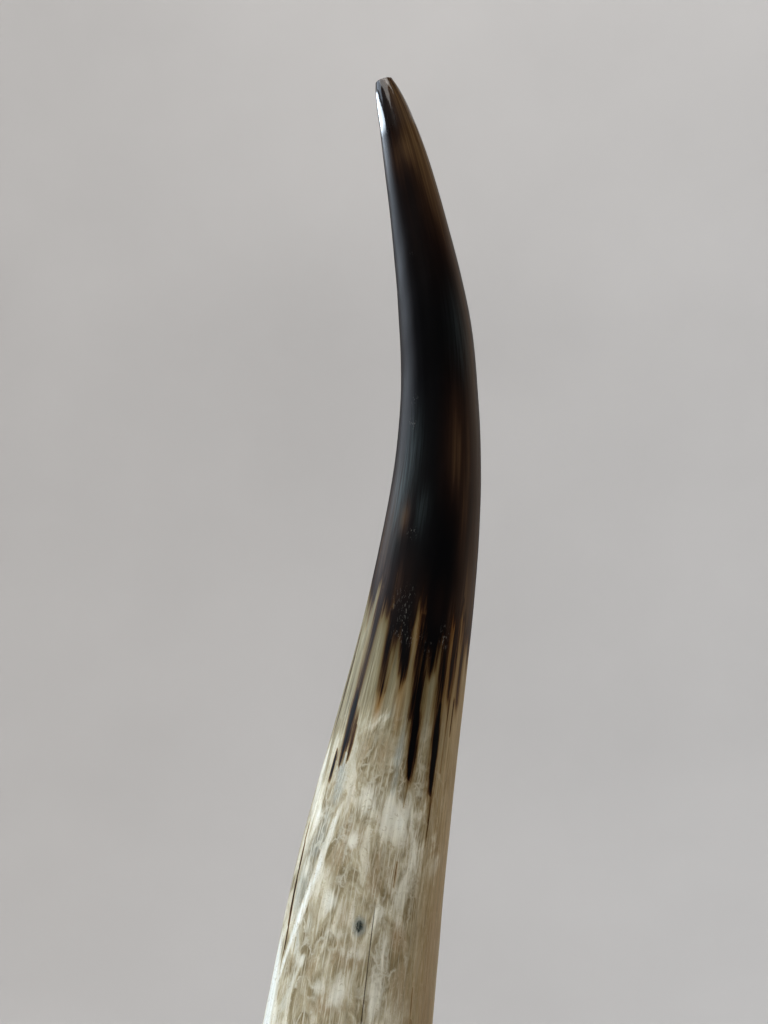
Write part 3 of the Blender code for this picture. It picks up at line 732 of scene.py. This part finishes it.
def lace(path, lift, half_width, half_thickness, sides, closed):
    """Points round a lace of rounded section that follows a path; lift is the way its flat side faces."""
    ahead = np.roll(path, -1, axis=0) - np.roll(path, 1, axis=0) if closed else np.gradient(path, axis=0)
    ahead /= np.linalg.norm(ahead, axis=1, keepdims=True)
    lift = lift - (lift * ahead).sum(axis=1, keepdims=True) * ahead
    lift /= np.linalg.norm(lift, axis=1, keepdims=True)
    turn = full_turn(sides)[None, :, None]
    wide = np.sign(np.cos(turn)) * abs(np.cos(turn)) ** 0.6 * half_width
    tall = np.sign(np.sin(turn)) * abs(np.sin(turn)) ** 0.8 * half_thickness
    return path[:, None] + wide * np.cross(ahead, lift)[:, None] + tall * lift[:, None]


def add_strand(points, faces, rings, strand_faces):
    """Adds one strand's points and faces to those of its piece."""
    first = len(points)
    points += rings.reshape(-1, 3).tolist()
    faces += [[first + corner for corner in face] for face in strand_faces]


rng = np.random.default_rng(31)
inward, under = np.array(CUT_EDGE).T * MM
outside_at = np.linspace(-1, 1, 261) * (WRAP_HALF - 1.5 * MM)
inside_at = np.linspace(1, -1, 61) * (WRAP_HALF - 1.5 * MM)
place = np.concatenate([outside_at, WRAP_HALF - inward, inside_at, inward[::-1] - WRAP_HALF])[:, None]
depth = np.concatenate([0 * outside_at, under, 0 * inside_at + LEATHER, under[::-1]])[:, None]
share = np.linspace(-1, 1, WRAP_SIDES, endpoint=False)[None]
angle = np.pi * (1.4 * share - 0.4 * share**3)  # columns crowd towards the seam
place, depth, angle = np.broadcast_arrays(place, depth, angle)
girth = smooth(WRAP_GIRTH, 1, abs(place)) * MM / 2
sharpness = np.where(depth > 0, 60.0, 30.0)
radius = flattened(girth - depth, angle, place, AXIS_TO_FLAT - depth, sharpness)
front_share = ramp(-0.75, -0.3, np.cos(angle))
slack = ripple(rng, place / MM, angle, 10, (1, 6), (3, 12), SLACK_HEIGHT) * front_share
wrinkles = ripple(rng, place / MM, angle, 12, (9, 34), (2, 10), WRINKLE_HEIGHT)
gathered = hump(abs(place), *PLEATED)
pleats = np.cos(PLEATS * angle + ripple(rng, place / MM, angle, 5, (2, 9), (0, 4), 1.6)) * gathered
tied = hump(abs(place), BRAID_MIDDLE, TIED_SPREAD)
relief = (slack + wrinkles * (0.35 + gathered)) * (1 - tied) + PLEAT_HEIGHT * pleats
seam_gap = (np.pi - abs(angle)) * girth / MM  # mm from the seam
lips = LIP_HEIGHT * hump(seam_gap, 1.9, 1.0) * ramp(*BOARD_ENDS, abs(place))
seam = (lips - SEAM_DEPTH * hump(seam_gap, 0, 0.55)) * MM
radius = radius + (relief * front_share - TIED_DEPTH * tied + seam) * (1 - depth / LEATHER)
centre, front, up = mount_sections(place[:, 0])
points = rings_round(centre, front, up, radius, angle)
wrap = new_piece("leather_sleeve", points, tube_faces(len(place), WRAP_SIDES, wrap_ends=True))
strained = gathered * front_share + tied * 0.5
paint(wrap, raw=np.clip(depth / MM, 0, 1).ravel(), strained=strained.ravel())

# Vegetable-tanned leather, dyed and waxed: a pebbled grain, shinier on its tops, with painted shade in its
# creases and a little painted light on its tops, paler where handling has worn it and where the cut edge
# shows undyed fibre.
PEBBLE = 1.35  # mm across, as are the next three
PEBBLE_BEND = 3.85
PORE = 0.385
DYE_PATCH = 23.8

tanned, tree, shader = new_finish("Leather, vegetable-tanned and waxed")
spot = add("TexCoord", out="Object")
warp = add("TexNoise", {"Vector": spot, "Scale": 1000 / PEBBLE_BEND, "Detail": 2}, out="Color")
warp = add("VectorMath", {0: warp, "Scale": 0.9 * MM}, operation="SCALE")
bent = add("VectorMath", [spot, warp])
pebbles = add("TexVoronoi", {"Vector": bent, "Scale": 1000 / PEBBLE}, feature="DISTANCE_TO_EDGE")
tops = add("MapRange", [pebbles, 0.02, 0.32], **EASED)
pores = add("TexNoise", {"Vector": spot, "Scale": 1000 / PORE, "Detail": 3})
dye = add("TexNoise", {"Vector": spot, "Scale": 1000 / DYE_PATCH, "Detail": 4, "Roughness": 0.6})
colour = add("ValToRGB", [dye], stops=[(0.3, "#39200F"), (0.5, "#4C2B17"), (0.72, "#623A20")])
# Painted shade: the colour is darker in the creases between pebbles and a little lighter on their tops.
crease_shade = add("MapRange", {0: tops, 3: 0.7, 4: 1.08})
colour = add("VectorMath", [colour, crease_shade], **TIMES)
worn = add("Attribute", out="Fac", attribute_name="strained")
worn = add("Math", [worn, tops], **TIMES)
worn = add("Math", [worn, 0.35], **TIMES, use_clamp=True)
colour = add("Mix", {0: worn, 6: colour, 7: linear("#8A5A35")}, **COLOURS)
raw = add("Attribute", out="Fac", attribute_name="raw")
colour = add("Mix", {0: raw, 6: colour, 7: linear("#9A7048")}, **COLOURS)
rough = add("MapRange", {0: tops, 3: 0.72, 4: 0.46})
height = add("Math", [pores, 0.25, tops], operation="MULTIPLY_ADD")
bump = add("Bump", {"Strength": 0.7, "Distance": 0.22 * MM, "Height": height})
lead(Base_Color=colour, Roughness=rough, Normal=bump, IOR=1.5)
dress(wrap, tanned)
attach(wrap, "root")
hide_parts("leather_wrap")

points, faces = [], []
stitch_faces = tube_faces(STITCH_RINGS, THREAD_SIDES)
stitch_faces += [range(THREAD_SIDES), range((STITCH_RINGS - 1) * THREAD_SIDES, STITCH_RINGS * THREAD_SIDES)]
for side in (-1, 1):
    for stitch in STITCHES:
        swing = np.linspace(-1, 1, STITCH_RINGS)
        across_seam = swing * STITCH_REACH
        places = side * (stitch + across_seam * STITCH_SLANT)
        centre, front, up = mount_sections(places)
        girth = smooth(WRAP_GIRTH, 1, abs(places)) * MM / 2
        turn = np.pi + across_seam / girth
        out = np.cos(turn)[:, None] * front + np.sin(turn)[:, None] * up
        # It lies on the leather, sags a little into the seam and dives through the leather at each end.
        reach = girth + STITCH_HEIGHT - STITCH_DIVE * abs(swing) ** 5 - STITCH_SAG * hump(swing, 0, 0.25)
        rings = lace(centre + reach[:, None] * out, out, THREAD_RADIUS, THREAD_RADIUS, THREAD_SIDES, False)
        add_strand(points, faces, rings, stitch_faces)
stitches = new_piece("seam_stitches", points, faces, crease=70)

# Waxed linen thread, twisted: fine slanting ridges, dull with a slight shine.
PLY_WIDTH = 0.9 * MM

waxed, tree, shader = new_finish("Linen thread, waxed")
spot = add("TexCoord", out="Object")
ply = add("TexWave", {"Vector": spot, "Scale": WAVE_PERIOD / PLY_WIDTH, "Distortion": 1},
          bands_direction="DIAGONAL")
colour = add("ValToRGB", [ply], stops=[(0, "#6F5A3B"), (1, "#B39B6C")])
bump = add("Bump", {"Strength": 0.6, "Distance": 0.12 * MM, "Height": ply})
lead(Base_Color=colour, Roughness=0.55, Normal=bump)
dress(stitches, waxed)
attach(stitches, "root")

# A plait of three flat leather laces closes each end of the sleeve, tied round it where the cut edge would
# show. Each lace swings from side to side of the band and passes over one neighbour and under the other.

LACE_HALF_WIDTH = 3.4 * MM
LACE_HALF_THICKNESS = 1.0 * MM
BAND_HALF_WIDTH = 8.5 * MM
BAND_MIDDLE_RADIUS = 55.4 * MM
BAND_WEAVE = 1.25 * MM
TWISTS = 12  # times each lace crosses the band and back on its way round
LACE_POINTS = 432
LACE_SIDES = 14

# Dyed leather lace, cut and burnished: nearly black brown, smoother than the sleeve, with a painted sheen on
# its crowns and paler along its cut edges.
LACE_GRAIN = 1.11  # mm
LACE_DYE_PATCH = 11.1

burnished, tree, shader = new_finish("Leather lace, burnished")
spot = add("TexCoord", out="Object")
grain = add("TexNoise", {"Vector": spot, "Scale": 1000 / LACE_GRAIN, "Detail": 4, "Roughness": 0.65})
dye = add("TexNoise", {"Vector": spot, "Scale": 1000 / LACE_DYE_PATCH, "Detail": 3})
colour = add("ValToRGB", [dye], stops=[(0.35, "#22130B"), (0.65, "#3A2214")])
# Painted sheen: lighter colour on the crowns, where a lace rides highest in the weave.
crown = add("Attribute", out="Fac", attribute_name="crown")
colour = add("Mix", {0: crown, 6: colour, 7: linear("#5A3A24")}, **COLOURS)
cut = add("Attribute", out="Fac", attribute_name="cut_side")
cut = add("Math", [cut, grain], **TIMES)
colour = add("Mix", {0: cut, 6: colour, 7: linear("#7B5433")}, **COLOURS)
rough = add("MapRange", [grain, 0.3, 0.7, 0.34, 0.56])
bump = add("Bump", {"Strength": 0.5, "Distance": 0.1 * MM, "Height": grain})
lead(Base_Color=colour, Roughness=rough, Normal=bump, IOR=1.5)

turn = full_turn(LACE_POINTS)
lace_faces = tube_faces(LACE_POINTS, LACE_SIDES, wrap_ends=True)
edge_on = abs(np.cos(full_turn(LACE_SIDES)))
for name, side in (("braid_right", 1), ("braid_left", -1)):
    points, faces, crowns = [], [], []
    for strand in range(3):
        swing = turn * TWISTS + strand * 2 * np.pi / 3
        places = side * BRAID_MIDDLE + (BAND_HALF_WIDTH - LACE_HALF_WIDTH) * np.sin(swing)
        centre, front, up = mount_sections(places)
        out = np.cos(turn)[:, None] * front + np.sin(turn)[:, None] * up
        path = centre + (BAND_MIDDLE_RADIUS + BAND_WEAVE * np.sin(2 * swing))[:, None] * out
        rings = lace(path, out, LACE_HALF_WIDTH, LACE_HALF_THICKNESS, LACE_SIDES, True)
        add_strand(points, faces, rings, lace_faces)
        # Each lace's painted sheen, strongest where it rides over its neighbour.
        crowns.append(np.repeat(0.5 * ramp(0.2, 1.0, np.sin(2 * swing)), LACE_SIDES))
    braid = new_piece(name + "_laces", points, faces, crease=60)
    paint(braid, crown=np.concatenate(crowns), cut_side=np.tile(ramp(0.85, 1.0, edge_on), 3 * LACE_POINTS))
    dress(braid, burnished)
    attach(braid, "root")
    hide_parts(name)

# The board is planed hardwood with eased edges, stained walnut and wiped with oil. Four screws hold it to
# the core through the leather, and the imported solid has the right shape, so it only takes its finish here.

SWIRL = 38.5  # mm across
YEARS = 22.0  # year lines crossed from the darkest to the palest swirl of the flat-sawn face
WOOD_PORE = 0.714  # mm, where real pores are finer and would not show

stained, tree, shader = new_finish("Hardwood, stained walnut and oiled")
spot = add("TexCoord", out="Object")
long_grain = add("VectorMath", [spot, (0.14, 1, 1)], **TIMES)
swirl = add("TexNoise", {"Vector": long_grain, "Scale": 1000 / SWIRL, "Detail": 2, "Roughness": 0.4})
years = add("Math", [swirl, YEARS], **TIMES)
years = add("Math", [years, 0.5], operation="PINGPONG")
years = add("MapRange", [years, 0, 0.5])
pores = add("TexNoise", {"Vector": long_grain, "Scale": 1000 / WOOD_PORE, "Detail": 3, "Roughness": 0.7})
colour = add("ValToRGB", [years], stops=[(0, "#5A3820"), (0.55, "#482B18"), (1, "#2C190E")])
fine = add("MapRange", [pores, 0.35, 0.6, 0.6, 1.12])
colour = add("VectorMath", [colour, fine], **TIMES)
rough = add("MapRange", [pores, 0.3, 0.7, 0.62, 0.42])
bump = add("Bump", {"Strength": 0.5, "Distance": 0.1 * MM, "Height": pores})
lead(Base_Color=colour, Roughness=rough, Normal=bump)
dress(nodes["back_board"], stained)

# A pressed steel keyhole plate is let into the board, flush with its back, for the head of a wall screw. It
# is zinc-plated: a cool bright grey with faint blotches and the lines of the rolled sheet.

ROLLED_LINE = 0.417  # mm, where real lines are finer and would not show
BLOTCH = 4.55

galvanised, tree, shader = new_finish("Steel, pressed and zinc-plated")
spot = add("TexCoord", out="Object")
rolled = add("VectorMath", [spot, (0.05, 1, 1)], **TIMES)
lines = add("TexNoise", {"Vector": rolled, "Scale": 1000 / ROLLED_LINE, "Detail": 2})
blotches = add("TexNoise", {"Vector": spot, "Scale": 1000 / BLOTCH, "Detail": 4})
colour = add("ValToRGB", [blotches], stops=[(0.35, "#A9ABAD"), (0.65, "#C6C7C4")])
rough = add("MapRange", [blotches, 0.3, 0.7, 0.24, 0.42])
bump = add("Bump", {"Strength": 0.3, "Distance": 0.03 * MM, "Height": lines})
lead(Base_Color=colour, Roughness=rough, Normal=bump, Metallic=1.0)
dress(nodes["keyhole_plate"], galvanised)

# Countersunk wood screws with a cross recess: four long ones, yellow zinc, through the board and the
# leather into the core, and two short ones, plain zinc, in the plate.

LONG_SCREW = (4.2, 2.1, 3, 40)  # mm: head and shank radius, countersink, length
SHORT_SCREW = (3, 1.4, 1.6, 11)
GAP = 0.3 * MM  # their heads lie this far under the board's back face
SCREW_SIDES = 96
FACE_RINGS = 26
RECESS_HALF_WIDTH = 0.17  # of the head's radius, as are the next three
RECESS_REACH = 0.62
RECESS_WALL = 0.08
RECESS_DEPTH = 0.5


def drive_screw(name, x, z, sizes, finish):
    """One screw: a turned body, with the cross recess pressed into its head."""
    head, shank, countersink, length = [size * MM for size in sizes]
    body = [(0.0, -length), (shank * 0.55, 1.2 * MM - length), (shank, 4 * MM - length)]
    body += [(shank, -countersink), (head, -0.25 * MM), (head - 0.08 * MM, -0.08 * MM)]
    body += [(r, 0.0) for r in np.linspace(head - 0.25 * MM, 0, FACE_RINGS)]
    reach, height = np.array(body).T
    turn = full_turn(SCREW_SIDES)
    across, upward = reach[:, None] * np.cos(turn), reach[:, None] * np.sin(turn)
    nearer, further = np.minimum(abs(across), abs(upward)), np.maximum(abs(across), abs(upward))
    wall = np.minimum(RECESS_HALF_WIDTH * head - nearer, RECESS_REACH * head - further)
    press = np.clip(wall / (RECESS_WALL * head), 0, 1) * (RECESS_DEPTH * head - 0.35 * further)
    press *= (height > -0.05 * MM)[:, None]
    points = np.stack([x + across, height[:, None] - press - GAP, z + upward], axis=-1)[1:-1]
    rows = len(points)
    points = [*points.reshape(-1, 3), (x, -length - GAP, z), (x, -RECESS_DEPTH * head - GAP, z)]
    faces = tube_faces(rows, SCREW_SIDES) + fan_faces(rows * SCREW_SIDES, 0, SCREW_SIDES)
    faces += fan_faces(rows * SCREW_SIDES + 1, (rows - 1) * SCREW_SIDES, SCREW_SIDES)
    screw = new_piece(name + "_turned", points, faces, crease=30)
    dress(screw, finish)
    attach(screw, "root")
    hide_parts(name)


# Yellow zinc: a thin iridescent film on bright steel, from gold to faint pink in small patches.
FILM_PATCH = 2.0  # mm

passivated, tree, shader = new_finish("Steel, yellow zinc")
spot = add("TexCoord", out="Object")
film = add("TexNoise", {"Vector": spot, "Scale": 1000 / FILM_PATCH, "Detail": 3})
colour = add("ValToRGB", [film], stops=[(0.35, "#B08A45"), (0.5, "#CBAA62"), (0.66, "#C79B72")])
rough = add("MapRange", [film, 0.3, 0.7, 0.22, 0.4])
lead(Base_Color=colour, Roughness=rough, Metallic=1.0)

places = [(x, z) for x in (-77, 77) for z in (-17, 17)]
for number, (x, z) in enumerate(places, start=1):
    drive_screw(f"board_screw_{number}", x * MM, z * MM, LONG_SCREW, passivated)
for number, x in enumerate((-17, 17), start=1):
    drive_screw(f"plate_screw_{number}", x * MM, 19 * MM, SHORT_SCREW, galvanised)

# The room: a plain pale floor that curves up into a round backdrop with a light on its front and its back,
# daylight from a window on the left and an overcast sky, a warm lamp on the right, and the camera where the
# photo was taken from, level, with the end of the right horn in view.
FLOOR = -1.25
COVE_RADIUS = 5.2
COVE_BEND = 2.4
COVE_HEIGHT = 6.5
COVE_SIDES = 96

profile = [(COVE_RADIUS - COVE_BEND, FLOOR)]
for bend in np.radians(np.linspace(-90, 0, 33))[1:]:
    reach = COVE_RADIUS - COVE_BEND + COVE_BEND * math.cos(bend)
    profile.append((reach, FLOOR + COVE_BEND + COVE_BEND * math.sin(bend)))
profile.append((COVE_RADIUS, COVE_HEIGHT))
turn = full_turn(COVE_SIDES)
points = [[(r * math.cos(a), r * math.sin(a), z) for a in turn] for r, z in profile]
cove = new_piece("studio_cove", points, tube_faces(len(points), COVE_SIDES) + [range(COVE_SIDES)])
plaster, tree, shader = new_finish("Plaster, painted matt")
place = add("TexCoord", out="Object")
cloud = add("TexNoise", {"Vector": place, "Scale": 0.8, "Detail": 3})  # uneven over 1.25 m
colour = add("ValToRGB", [cloud], stops=[(0.35, "#C4C3C3"), (0.65, "#CAC9C9")])
lead(Base_Color=colour, Roughness=0.9)
dress(cove, plaster)


def soft_light(name, place, target, width, height, watts, colour):
    """A rectangular soft light that the camera doesn't see."""
    light = bpy.data.lights.new(name, "AREA")
    light.shape = "RECTANGLE"
    light.size, light.size_y = width, height
    light.energy = watts
    light.color = linear(colour)[:3]
    lamp = bpy.data.objects.new(name, light)
    lamp.location = place
    lamp.rotation_euler = (Vector(target) - Vector(place)).to_track_quat("-Z", "Y").to_euler()
    lamp.visible_camera = False
    scene.collection.objects.link(lamp)


UPPER_HORN = (0.54, -0.03, 0.61)
LOWER_HORN = (0.54, -0.08, 0.2)
ABOVE_MOUNT = (0.4, 0.0, 0.3)
soft_light("window", (-1.39, 0.68, 1.085), UPPER_HORN, 2.2, 0.29, 27, "#DEECFA")
soft_light("upper_window", (-1.27, 0.13, 1.7), UPPER_HORN, 1.6, 0.7, 10, "#D8E8FA")
soft_light("sky", (-0.55, -0.75, 3.5), ABOVE_MOUNT, 3.6, 3.6, 118, "#FCFBF8")
soft_light("lamp", (2.5, 0.75, 0.5), LOWER_HORN, 1.6, 2.0, 13, "#FFE6CC")
soft_light("wall_wash", (0.5, 1.8, 4.2), (0.5, 5.0, 0.3), 4.0, 1.2, 88, "#FFFDFA")
soft_light("front_wash", (0.2, -2.0, 4.4), (0.2, -5.0, 0.3), 4.0, 1.2, 44, "#FFFDFA")

world = bpy.data.worlds.new("Daylight")
world.use_nodes = True
world.node_tree.nodes["Background"].inputs["Color"].default_value = linear("#E6E8EC")
world.node_tree.nodes["Background"].inputs["Strength"].default_value = 0.04
scene.world = world
scene.view_settings.view_transform = "Standard"
scene.view_settings.look = "Medium High Contrast"

camera = bpy.data.objects.new("camera", bpy.data.cameras.new("camera"))
camera.data.lens = 50
camera.data.sensor_width = 36
camera.location = (0.5402, -0.7353, 0.4)
camera.rotation_euler = (math.pi / 2, 0, 0)
scene.collection.objects.link(camera)
scene.camera = camera
